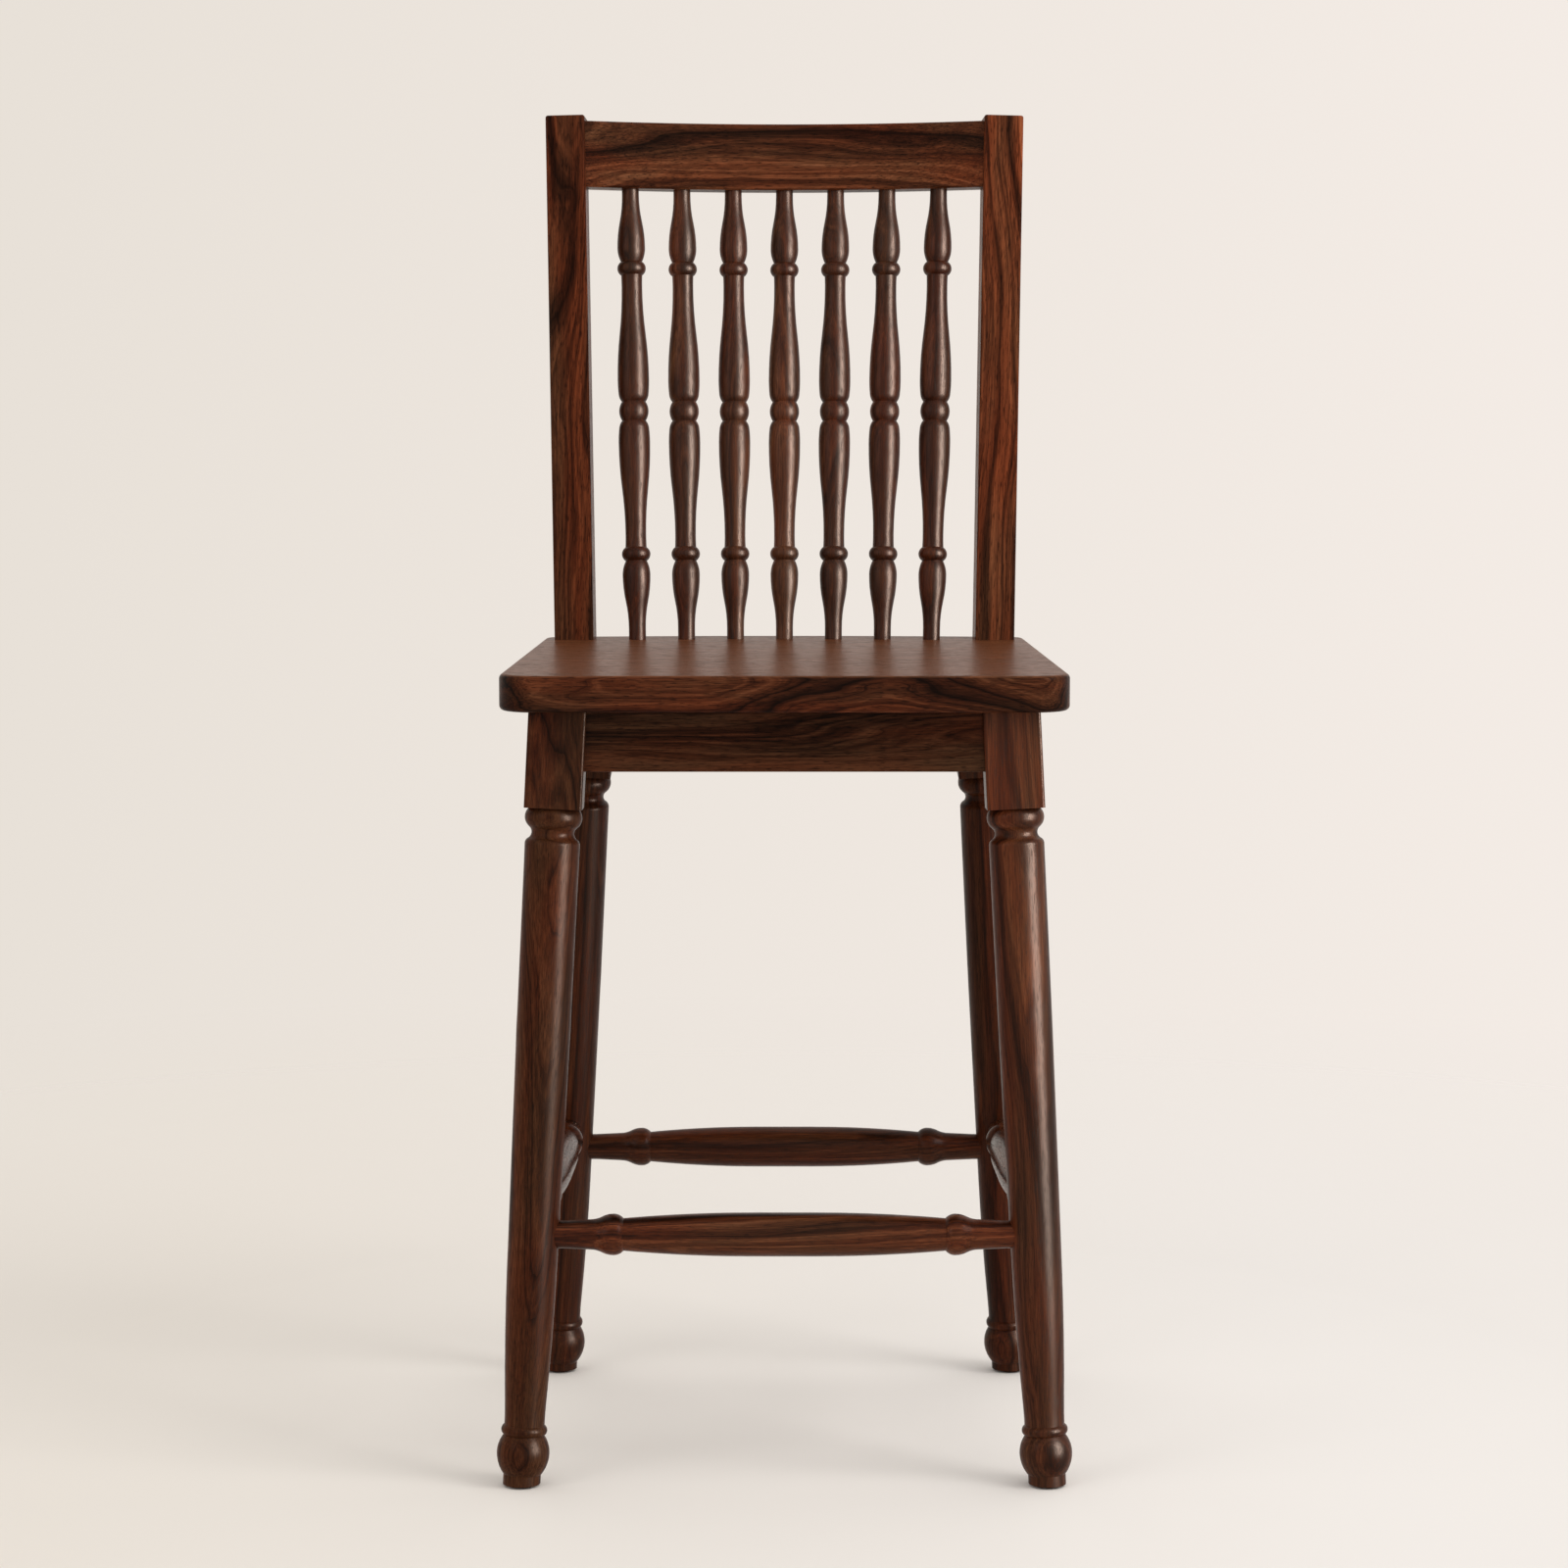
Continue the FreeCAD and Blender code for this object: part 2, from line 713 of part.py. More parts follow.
def make_stretcher(name, frame, span, ends):
    """A turned rail along its frame, between two leg axes that are the span apart."""
    half_length = span / 2 - size.stretcher_end_gap
    body = new_body(f"{name}_body", frame.moved(0, 0, span / 2))
    tenon = size.stretcher_tenon_diameter / 2
    neck = size.stretcher_neck_diameter / 2
    knob = size.stretcher_knob_diameter / 2
    barrel = size.stretcher_barrel_diameter / 2
    end = -half_length
    tenon_end = end + size.leg_shaft_diameter / 2 + size.stretcher_tenon_margin - size.stretcher_end_gap
    neck_end = end + size.stretcher_neck_reach - size.stretcher_end_gap
    knob_top = neck_end + size.stretcher_knob_outer_length
    knob_end = knob_top + size.stretcher_knob_inner_length

    outline = Outline(body, f"{name}_outline", "XZ_Plane", ZERO, end)
    outline.line_to(tenon, end)
    outline.line_to(tenon, tenon_end)
    outline.line_to(neck, neck_end)
    outline.swell_to((neck, neck_end), knob, knob_top)
    outline.leave_upright(size.stretcher_groove_diameter / 2, knob_end)
    outline.arrive_upright(barrel, size.stretcher_barrel_length / -2)
    outline.line_to(barrel, ZERO)
    outline.line_to(ZERO, ZERO)
    outline.line_to(*outline.start)
    mirror(body, turn(body, outline))

    slack = size.joint_clearance * 2
    sockets = rod(f"{name}_sockets", frame.moved(0, 0, size.stretcher_end_gap - size.joint_clearance),
                  size.stretcher_tenon_diameter + slack, half_length * 2 + slack)
    for leg_name in ends:
        leg_cuts[leg_name].append(sockets)
    finish(name, body)


for row_name, drop in (("front", size.front_stretcher_drop), ("rear", size.rear_stretcher_drop)):
    height = size.side_stretcher_height - drop
    left_leg = legs[f"{row_name}_left"]
    right_leg = legs[f"{row_name}_right"]
    start = FLOOR.moved(left_leg.across(height), left_leg.along(height), height)
    make_stretcher(
        f"stretcher_{row_name}", start.turned("y", QUARTER_TURN),
        right_leg.across(height) - left_leg.across(height), (f"{row_name}_left", f"{row_name}_right"))

for side_name, side in SIDES:
    height = size.side_stretcher_height
    front_leg = legs[f"front_{side_name}"]
    rear_leg = legs[f"rear_{side_name}"]
    run = rear_leg.along(height) - front_leg.along(height)
    drift = rear_leg.across(height) - front_leg.across(height)
    start = FLOOR.moved(front_leg.across(height), front_leg.along(height), height)
    make_stretcher(
        f"stretcher_{side_name}", start.turned("z", -angle_of(drift, run)).turned("x", -QUARTER_TURN),
        square_root(run * run + drift * drift), (f"front_{side_name}", f"rear_{side_name}"))


# Glides: flat nail-on discs with a bevelled rim under the feet

def make_glide(name, axis):
    body = new_body(f"{name}_body", FLOOR.moved(axis.across(ZERO), axis.along(ZERO), 0))
    rim = size.glide_diameter / 2
    nail = size.glide_nail_diameter / 2
    tip = size.glide_thickness + size.glide_nail_length
    outline = Outline(body, f"{name}_outline", "XZ_Plane", ZERO, ZERO)
    outline.line_to(rim - size.glide_edge, ZERO)
    outline.line_to(rim, size.glide_edge)
    outline.line_to(rim, size.glide_thickness)
    outline.line_to(nail, size.glide_thickness)
    outline.line_to(nail, tip)
    outline.line_to(ZERO, tip)
    outline.line_to(*outline.start)
    turn(body, outline)
    finish(name, body)
    return rod(f"{name}_nail_hole", FLOOR.moved(axis.across(ZERO), axis.along(ZERO), 0),
               size.glide_nail_diameter + size.joint_clearance * 2, tip + size.joint_clearance)


# Legs: a square block over a long turning that ends in a ring, a ball and a pad

def make_leg(name, axis):
    foot = size.leg_trim_allowance
    body = new_body(
        f"{name}_blank", axis.frame(ZERO).moved(0, 0, -foot))
    top = seat_underside / axis.stretch + foot
    block_bottom = top - axis.block_length
    collar_end = size.leg_collar_end_diameter / 2
    collar_base = block_bottom - size.leg_collar_length
    cove_base = collar_base - size.leg_cove_length
    shaft_top = cove_base - size.leg_shoulder_length
    pad_top = foot + size.leg_pad_length
    ball_widest = pad_top + size.leg_ball_lower_length
    ball_top = ball_widest + size.leg_ball_upper_length
    ring_top = ball_top + size.leg_ring_length
    ankle_top = ring_top + size.leg_ankle_length
    calf_top = ankle_top + size.leg_calf_length

    outline = Outline(
        body, f"{name}_outline", "XZ_Plane", ZERO, block_bottom + size.leg_turning_overlap)
    outline.line_to(collar_end, block_bottom + size.leg_turning_overlap)
    outline.line_to(collar_end, block_bottom)
    outline.bulge_to(collar_end, collar_base,
                     size.leg_collar_diameter / 2, block_bottom - size.leg_collar_length / 2)
    outline.bulge_to(collar_end, cove_base,
                     size.leg_cove_diameter / 2, collar_base - size.leg_cove_length / 2)
    outline.arrive_upright(size.leg_shaft_diameter / 2, shaft_top)
    outline.line_to(size.leg_shaft_middle_diameter / 2, shaft_top - size.leg_shaft_upper_length)
    outline.line_to(size.leg_calf_diameter / 2, calf_top)
    outline.flow_to(size.leg_ankle_top_diameter / 2, ankle_top)
    outline.flow_to(size.leg_ankle_diameter / 2, ring_top)
    outline.bulge_to(size.leg_ring_groove_diameter / 2, ball_top,
                     size.leg_ring_diameter / 2, ring_top - size.leg_ring_length / 2)
    outline.arrive_upright(size.leg_ball_diameter / 2, ball_widest)
    outline.leave_upright(size.leg_pad_diameter / 2, pad_top)
    outline.line_to(size.leg_pad_diameter / 2, ZERO)
    outline.line_to(ZERO, ZERO)
    outline.line_to(*outline.start)
    turn(body, outline)
    # The seam of the turned surface lies on the diagonal, clear of the two stretcher sockets.
    diagonal = FreeCAD.Rotation(FreeCAD.Vector(0, 1, 0), QUARTER_TURN / 2)
    outline.sketch.AttachmentOffset = FreeCAD.Placement(FreeCAD.Vector(), diagonal)

    block = rounded_rectangle(
        body, f"{name}_block", size.leg_block_width, size.leg_block_width, size.leg_block_arris)
    block.setExpression(".AttachmentOffset.Base.z", block_bottom.formula)
    pad(body, block, axis.block_length + foot)
    return body


standing_room = seat_underside - size.glide_thickness
leg_room = bar(
    "leg_room", FLOOR.moved(0, 0, size.glide_thickness + standing_room / 2),
    size.seat_front_width * 2, size.seat_depth * 2, standing_room)
for leg_name, axis in legs.items():
    leg_cuts[leg_name].append(make_glide(f"glide_{leg_name}", axis))
    trimmed = common(f"{leg_name}_trimmed", make_leg(leg_name, axis), leg_room)
    finish(f"leg_{leg_name}", cut(f"{leg_name}_leg_piece", trimmed, leg_cuts[leg_name]))


# Back posts: leaning square uprights tenoned and screwed to the seat

def post_frame(side):
    """Middle of the post's foot on the seat, with the upright axis along the post."""
    spot = FLOOR.moved(post_spread / 2 * side, post_row, size.seat_height)
    leaning = spot.turned("x", -size.post_lean).turned("y", size.post_splay * side)
    return leaning.turned("z", size.post_turn * side)


post_screws = []
post_blanks = {}
post_cuts = {}
above_seat = bar(
    "above_seat", FLOOR.moved(0, 0, size.seat_height + size.post_length),
    size.seat_front_width * 2, size.seat_depth * 4, size.post_length * 2)
for side_name, side in SIDES:
    name = f"back_post_{side_name}"
    frame = post_frame(side)
    body = new_body(f"{name}_blank", frame.moved(0, 0, -size.post_tenon_length))
    section = rounded_rectangle(
        body, f"{name}_section", size.post_width, size.post_thickness, size.post_arris)
    shaft = pad(body, section, size.post_length + size.post_tenon_length)
    top = (size.post_length + size.post_tenon_length).value
    round_edges(
        body, shaft, size.post_top_round,
        lambda edge: all(abs(vertex.Z - top) < EDGE_TOLERANCE for vertex in edge.Vertexes))
    standing = common(f"{name}_standing", body, above_seat)
    slack = size.joint_clearance * 2
    tenon = bar(f"{name}_tenon", frame, size.post_tenon_width, size.post_tenon_thickness,
                size.post_tenon_length * 2)
    seat_cuts.append(bar(
        f"{name}_mortise", frame, size.post_tenon_width + slack, size.post_tenon_thickness + slack,
        size.post_tenon_length * 2 + slack))
    post_blanks[side_name] = fuse(f"{name}_shaped", [standing, tenon])
    post_cuts[side_name] = []
    for number, offset in (("first", -1), ("second", 1)):
        screw_name = f"{name}_{number}_screw"
        sink = size.seat_thickness / cosine(size.post_lean) - size.post_screw_recess
        spot = frame.moved(size.post_screw_spacing / 2 * offset, 0, size.post_screw_length - sink)
        spot = spot.turned("x", QUARTER_TURN * 2)
        hole = make_screw_hole(screw_name, spot, size.post_screw_length, size.seat_thickness / 2)
        post_screws.append(make_screw(screw_name, spot, size.post_screw_length))
        seat_cuts.append(hole)
        post_cuts[side_name].append(hole)
finish("post_screws", group("post_screw_set", post_screws))


# Crest rail: a bowed board between the posts, leaning with them

rail_top = size.post_length - size.rail_drop
rail_bottom = rail_top - size.rail_height
rail_middle = rail_top - size.rail_height / 2
rail_half_span = post_spread / 2 + rail_middle * tangent(size.post_splay) - size.post_width / 2
rail_radius = (rail_half_span * rail_half_span / size.rail_bow + size.rail_bow) / 2
rail_end_reach = rail_half_span + size.rail_tenon_length / 2


def rail_setback(across, radius):
    """How far an arc of the rail lies behind the post row at a distance from the middle."""
    return square_root(radius * radius - across * across) - rail_radius + size.rail_bow


back_frame = FLOOR.moved(0, post_row, size.seat_height).turned("x", -size.post_lean)
rail_body = new_body("crest_rail_board", back_frame.moved(0, 0, rail_bottom))
front_radius = rail_radius - size.rail_thickness / 2
rear_radius = rail_radius + size.rail_thickness / 2
outline = Outline(
    rail_body, "crest_rail_outline", "XY_Plane",
    -rail_end_reach, rail_setback(rail_end_reach, front_radius))
outline.bulge_to(rail_end_reach, rail_setback(rail_end_reach, front_radius),
                 ZERO, size.rail_bow - size.rail_thickness / 2)
outline.line_to(rail_end_reach, rail_setback(rail_end_reach, rear_radius))
outline.bulge_to(-rail_end_reach, rail_setback(rail_end_reach, rear_radius),
                 ZERO, size.rail_bow + size.rail_thickness / 2)
outline.line_to(*outline.start)
rail_board = pad(rail_body, outline.draw(), size.rail_height)
round_edges(
    rail_body, rail_board, size.rail_edge_round,
    lambda edge: isinstance(edge.Curve, Part.Circle))
rail_pieces = [cut("crest_rail_shouldered", rail_body, list(post_blanks.values()))]
for side_name, side in SIDES:
    slack = size.joint_clearance * 2
    tenon_middle = back_frame.moved(rail_half_span * side, 0, rail_middle)
    rail_pieces.append(bar(
        f"rail_tenon_{side_name}", tenon_middle,
        size.rail_tenon_length * 2, size.rail_tenon_thickness, size.rail_tenon_height))
    post_cuts[side_name].append(bar(
        f"rail_mortise_{side_name}", tenon_middle,
        size.rail_tenon_length * 2 + slack, size.rail_tenon_thickness + slack,
        size.rail_tenon_height + slack))
    finish(f"back_post_{side_name}",
           cut(f"back_post_{side_name}_piece", post_blanks[side_name], post_cuts[side_name]))
rail_shaped = fuse("crest_rail_shaped", rail_pieces)


# Spindles: turned alike above and below a middle bead, between seat and rail

def make_spindle(name, frame, half_length):
    """A spindle centred on its frame, turned as one half and mirrored."""
    body = new_body(f"{name}_body", frame)
    neck = size.spindle_neck_diameter / 2
    vase = size.spindle_vase_diameter / 2
    ring_groove = size.spindle_ring_groove_diameter / 2
    waist = size.spindle_waist_diameter / 2
    belly = size.spindle_belly_diameter / 2
    bottom = -half_length
    neck_top = bottom + size.spindle_neck_length
    vase_at = neck_top + size.spindle_vase_taper
    ring_bottom = vase_at + size.spindle_vase_shoulder
    ring_top = ring_bottom + size.spindle_ring_length
    waist_at = ring_top + size.spindle_waist_flare
    groove_at = size.spindle_middle_bead_length / -2
    shoulder_at = groove_at - size.spindle_shoulder_length
    belly_at = shoulder_at - size.spindle_belly_rise

    outline = Outline(body, f"{name}_outline", "XZ_Plane", ZERO, bottom)
    outline.line_to(neck, bottom)
    outline.line_to(neck, neck_top)
    outline.swell_to((neck, neck_top), vase, vase_at)
    outline.leave_upright(ring_groove, ring_bottom)
    outline.bulge_to(ring_groove, ring_top,
                     size.spindle_ring_diameter / 2, ring_bottom + size.spindle_ring_length / 2)
    outline.arrive_upright(waist, waist_at)
    outline.swell_to((waist, waist_at), belly, belly_at)
    outline.leave_upright(size.spindle_shoulder_diameter / 2, shoulder_at)
    outline.flow_to(size.spindle_groove_diameter / 2, groove_at)
    outline.arrive_upright(size.spindle_middle_bead_diameter / 2, ZERO)
    outline.line_to(ZERO, ZERO)
    outline.line_to(*outline.start)
    mirror(body, turn(body, outline))
    finish(name, body)


rail_cuts = []
seat_row_half = post_spread / 2 - size.spindle_end_gap
rail_row_half = seat_row_half + rail_bottom * tangent(size.post_splay)
for number in range(1, SPINDLE_COUNT + 1):
    place_in_row = 2 * (number - 1) / (SPINDLE_COUNT - 1) - 1
    seat_across = seat_row_half * place_in_row
    row_radius = size.spindle_row_radius
    seat_along = post_row + square_root(row_radius * row_radius - seat_across * seat_across) - row_radius
    rail_across = rail_row_half * place_in_row
    setback = rail_setback(rail_across, rail_radius)
    lean = size.post_lean
    rail_along = post_row + setback * cosine(lean) + rail_bottom * sine(lean)
    rail_height = size.seat_height + rail_bottom * cosine(lean) - setback * sine(lean)

    rise = rail_height - size.seat_height
    drift = rail_across - seat_across
    run = rail_along - seat_along
    flat_rise = square_root(rise * rise + drift * drift)
    shown = square_root(flat_rise * flat_rise + run * run)
    length = shown + size.spindle_seat_socket + size.spindle_rail_socket
    foot = FLOOR.moved(seat_across, seat_along, size.seat_height)
    foot = foot.turned("y", angle_of(drift, rise)).turned("x", -angle_of(run, flat_rise))
    foot = foot.moved(0, 0, -size.spindle_seat_socket)
    make_spindle(f"spindle_{number}", foot.moved(0, 0, length / 2), length / 2)

    slack = size.joint_clearance * 2
    socket = rod(f"spindle_{number}_sockets", foot.moved(0, 0, -size.joint_clearance),
                 size.spindle_neck_diameter + slack, length + slack)
    seat_cuts.append(socket)
    rail_cuts.append(socket)
finish("crest_rail", cut("crest_rail_piece", rail_shaped, rail_cuts))


# Seat: one solid panel, wider in front, with a bowed back edge

seat_body = new_body("seat_panel", FLOOR.moved(0, 0, seat_underside))
front_half = size.seat_front_width / 2
back_half = seat_back_width / 2
outline = Outline(seat_body, "seat_outline", "XY_Plane", -front_half, seat_front)
outline.line_to(front_half, seat_front)
outline.line_to(back_half, seat_back)
outline.bulge_to(-back_half, seat_back, ZERO, seat_back + size.seat_back_bow)
outline.line_to(*outline.start)
panel = pad(seat_body, outline.draw(), size.seat_thickness)


def stands_upright(edge, along):
    """Whether an edge is an upright corner of the panel at a distance along it."""
    first, last = (vertex.Point for vertex in edge.Vertexes)
    upright = abs(first.z - last.z) > size.seat_thickness.value / 2
    return upright and abs(first.y - along.value) < EDGE_TOLERANCE


panel = round_edges(
    seat_body, panel, size.seat_front_corner,
    lambda edge: stands_upright(edge, seat_front))
panel = round_edges(
    seat_body, panel, size.seat_back_corner,
    lambda edge: stands_upright(edge, seat_back))
round_edges(
    seat_body, panel, size.seat_edge_round,
    lambda edge: edge.BoundBox.ZLength < EDGE_TOLERANCE)
finish("seat", cut("seat_piece", seat_body, seat_cuts))


# Check every object, then write each piece

doc.recompute()
failed = [item for item in doc.Objects if "Invalid" in item.State or "Error" in item.State]
if failed:
    raise RuntimeError("; ".join(f"{item.Name}: {item.getStatusString()}" for item in failed))
for name, item in parts.items():
    if item.Shape.isNull() or not item.Shape.isValid() or not item.Shape.Solids:
        raise RuntimeError(f"{name} has no sound solid")

os.makedirs("parts", exist_ok=True)
for name, item in parts.items():
    item.Shape.exportStep(f"parts/{name}.step")
    print(f"{name}: {len(item.Shape.Solids)} solid, {item.Shape.Volume / 1000:.1f} cm3")
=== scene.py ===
import math

import bmesh
import bpy
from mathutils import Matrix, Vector


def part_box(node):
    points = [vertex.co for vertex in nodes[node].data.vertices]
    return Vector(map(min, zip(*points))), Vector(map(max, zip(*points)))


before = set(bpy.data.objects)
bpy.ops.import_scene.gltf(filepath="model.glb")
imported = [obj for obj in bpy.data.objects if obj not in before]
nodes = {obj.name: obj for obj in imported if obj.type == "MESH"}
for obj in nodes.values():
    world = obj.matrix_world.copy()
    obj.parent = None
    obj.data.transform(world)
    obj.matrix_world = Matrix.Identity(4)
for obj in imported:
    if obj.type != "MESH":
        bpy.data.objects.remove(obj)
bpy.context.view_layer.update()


# Legs: four posts turned from dark walnut, square at the top where the aprons come in, with a bead and
# cove under the block, a long slender shaft, and a ring and ball at the foot. The grain runs down each
# leg, and the stain and satin lacquer leave near-black streaks between red-brown bands.

WALNUT_BANDS = (
    (0.31, (0.0085, 0.0026, 0.0011)),
    (0.40, (0.0220, 0.0064, 0.0026)),
    (0.49, (0.0500, 0.0140, 0.0054)),
    (0.58, (0.0860, 0.0260, 0.0100)),
    (0.72, (0.1550, 0.0540, 0.0230)),
)
BAND_DETAIL = 6.0
BAND_ROUGHNESS = 0.66
BAND_LEVEL = 0.10
RED_STAIN = (1.14, 0.88, 0.78)
BROWN_STAIN = (0.90, 1.08, 1.16)
STAIN_EDGE = (0.36, 0.64)
# A paler walnut for faces turned up: painted light from above and painted sheen.
TOP_LIT_WALNUT = (0.25, 0.088, 0.036, 1.0)
TOP_LIT_EDGE = (0.6, 0.98)

# Each year opens with a dark line that clears quickly, pales slowly and dims again at its end. The
# years are not equally wide.
YEAR_SHADE = (
    (0.0, (0.0, 0.0, 0.0)),
    (0.12, (0.55, 0.55, 0.55)),
    (0.75, (0.75, 0.75, 0.75)),
    (1.0, (0.45, 0.45, 0.45)),
)
YEAR_RING = 0.007
YEAR_SPREAD = 3.0
YEAR_SPREAD_SCALE = 40.0
YEAR_LEVEL = 0.6

# The figure of the wood: sizes across the grain, the stretch along it, and how much each one counts.
DRIFT_SIZE = 0.09
DRIFT_PUSH = (0.1, 0.1, 0.0)
RIPPLE_SIZE = 0.03
RIPPLE_STRETCH = 9.0
RIPPLE_PUSH = 0.014
STREAK_SIZE = 0.003
STREAK_SHARE = 0.22
FIBRE_SIZE = 0.0009
FIBRE_STRETCH = 45.0
FIBRE_EDGE = (0.3, 0.7)
FIBRE_CONTRAST = 0.34
PORE_SIZE = 0.0007
PORE_STRETCH = 13.0
PORE_EDGE = (0.57, 0.65)
PORE_ROUGHNESS = 0.2
PATCH_SIZE = 0.025
PATCH_STRETCH = 9.0
RELIEF_STRENGTH = 0.05
RELIEF_HEIGHT = 0.0004

KNOT_OVAL = (1.0, 1.0, 0.8)
KNOT_REACH = 0.018
KNOT_SWIRL = 0.009
KNOT_CORE = (0.001, 0.013)
KNOT_SHADE = 0.4


def add_node(tree, kind, settings=None, **inputs):
    """A shader node with its settings made and its inputs given a value or wired to another output."""
    node = tree.nodes.new(kind)
    for key, value in (settings or {}).items():
        setattr(node, key, value)
    for key, value in inputs.items():
        socket = node.inputs[int(key[1:])] if key[0] == "i" and key[1:].isdigit() else node.inputs[key]
        if isinstance(value, bpy.types.NodeSocket):
            tree.links.new(value, socket)
        else:
            socket.default_value = value
    return node


def add_math(tree, operation, *values):
    """One value worked out from others."""
    inputs = {f"i{place}": value for place, value in enumerate(values)}
    return add_node(tree, "ShaderNodeMath", {"operation": operation}, **inputs).outputs[0]


def add_vector_math(tree, operation, *values):
    """A place, a colour or a length worked out from others."""
    inputs = {f"i{place}": value for place, value in enumerate(values)}
    node = add_node(tree, "ShaderNodeVectorMath", {"operation": operation}, **inputs)
    return node.outputs["Value"] if operation == "LENGTH" else node.outputs[0]


def add_scaled(tree, colour, amount):
    """A colour made lighter or darker."""
    node = add_node(tree, "ShaderNodeVectorMath", {"operation": "SCALE"}, i0=colour, Scale=amount)
    return node.outputs[0]


def add_ramp(tree, value, stops):
    """A colour ramp over a value."""
    node = add_node(tree, "ShaderNodeValToRGB", i0=value)
    elements = node.color_ramp.elements
    while len(elements) < len(stops):
        elements.new(0.5)
    for element, (place, colour) in zip(elements, stops):
        element.position = place
        element.color = (*colour, 1.0)
    return node.outputs[0]


def add_range(tree, value, low, high, to_low, to_high):
    """Stretches part of a value's range to a new range."""
    node = add_node(tree, "ShaderNodeMapRange", i0=value, i1=low, i2=high, i3=to_low, i4=to_high)
    return node.outputs[0]


def add_grain_noise(tree, place, stretch, size, detail, rough):
    """Noise in lumps of the given size across the grain, drawn out along it."""
    drawn = add_vector_math(tree, "MULTIPLY", place, (1.0, 1.0, 1.0 / stretch))
    return add_node(tree, "ShaderNodeTexNoise", Vector=drawn, Scale=1.0 / size, Detail=detail,
                    Roughness=rough)


def bare_material(name):
    """A material with an empty node tree, and that tree."""
    material = bpy.data.materials.new(name)
    material.use_nodes = True
    material.node_tree.nodes.clear()
    return material, material.node_tree


def walnut(name, heart, along, tone_and_light=1.0, band=0.03, sheen=0.28, gloss=0.035, figure=1.2, lines=0.07, top_light=0.0,
           sway=6.0, open_pores=0.6, knot=None):
    """Stained walnut cut from a tree whose heart line runs through a point in the direction of the grain."""
    material, tree = bare_material(name)
    spot = add_node(tree, "ShaderNodeTexCoord").outputs["Object"]
    turned = Vector(along).to_track_quat("Z", "Y").to_euler()
    lay = add_node(tree, "ShaderNodeMapping", {"vector_type": "TEXTURE"}, Vector=spot, Location=heart,
                   Rotation=turned)
    place = lay.outputs[0]

    # The distance from the heart line, made to wander, gives the bands.
    drift = add_grain_noise(tree, place, sway, DRIFT_SIZE, 2.0, 0.5).outputs["Color"]
    centred = add_vector_math(tree, "SUBTRACT", drift, (0.5, 0.5, 0.5))
    pushed = add_vector_math(tree, "MULTIPLY_ADD", centred, DRIFT_PUSH, place)
    flat = add_vector_math(tree, "MULTIPLY", pushed, (1.0, 1.0, 0.0))
    radius = add_vector_math(tree, "LENGTH", flat)
    ripple = add_grain_noise(tree, place, RIPPLE_STRETCH, RIPPLE_SIZE, 3.0, 0.6).outputs[0]
    ring = add_math(tree, "MULTIPLY_ADD", ripple, RIPPLE_PUSH, radius)
    if knot:
        apart = add_vector_math(tree, "SUBTRACT", spot, knot)
        oval = add_vector_math(tree, "MULTIPLY", apart, KNOT_OVAL)
        from_knot = add_vector_math(tree, "LENGTH", oval)
        swirl = add_range(tree, from_knot, 0.0, KNOT_REACH, KNOT_SWIRL, 0.0)
        ring = add_math(tree, "ADD", ring, swirl)
    bands = add_node(tree, "ShaderNodeTexNoise", {"noise_dimensions": "1D"}, W=ring, Scale=1.0 / band,
                     Detail=BAND_DETAIL, Roughness=BAND_ROUGHNESS).outputs[0]

    # Year lines and fine streaks join the bands, and the sum is looked up in the walnut's own colours.
    streaks = add_grain_noise(tree, pushed, FIBRE_STRETCH, STREAK_SIZE, 3.0, 0.65).outputs[0]
    fibres = add_grain_noise(tree, place, FIBRE_STRETCH, FIBRE_SIZE, 2.0, 0.5).outputs[0]
    pores = add_grain_noise(tree, place, PORE_STRETCH, PORE_SIZE, 1.0, 0.5).outputs[0]
    patches = add_grain_noise(tree, place, PATCH_STRETCH, PATCH_SIZE, 2.0, 0.5).outputs[0]
    spread = add_node(tree, "ShaderNodeTexNoise", {"noise_dimensions": "1D"}, W=ring,
                      Scale=YEAR_SPREAD_SCALE, Detail=1.0).outputs[0]
    years = add_math(tree, "MULTIPLY", ring, 1.0 / YEAR_RING)
    counted = add_math(tree, "MULTIPLY_ADD", spread, YEAR_SPREAD, years)
    season = add_math(tree, "FRACT", counted)
    late = add_ramp(tree, season, YEAR_SHADE)
    banded = add_math(tree, "MULTIPLY_ADD", late, lines, bands)
    mixed = add_math(tree, "MULTIPLY_ADD", streaks, STREAK_SHARE, banded)
    level = BAND_LEVEL + YEAR_LEVEL * lines
    shifted = add_range(tree, mixed, level, level + 1.0, 0.5 - 0.5 * figure, 0.5 + 0.5 * figure)
    colour = add_ramp(tree, shifted, WALNUT_BANDS)
    stain = add_ramp(tree, patches, ((STAIN_EDGE[0], BROWN_STAIN), (STAIN_EDGE[1], RED_STAIN)))
    finish = add_vector_math(tree, "MULTIPLY", colour, stain)
    # Painted light: faces turned up are mixed towards a paler walnut, standing for the light from above and
    # the sheen on top.
    if top_light:
        facing = add_node(tree, "ShaderNodeNewGeometry")
        upward = add_node(tree, "ShaderNodeSeparateXYZ", i0=facing.outputs["Normal"]).outputs[2]
        top_lit_share = add_range(tree, upward, *TOP_LIT_EDGE, 0.0, top_light)
        top_lit_mix = add_node(tree, "ShaderNodeMix", {"data_type": "RGBA"}, i0=top_lit_share, i6=finish, i7=TOP_LIT_WALNUT)
        finish = top_lit_mix.outputs[2]
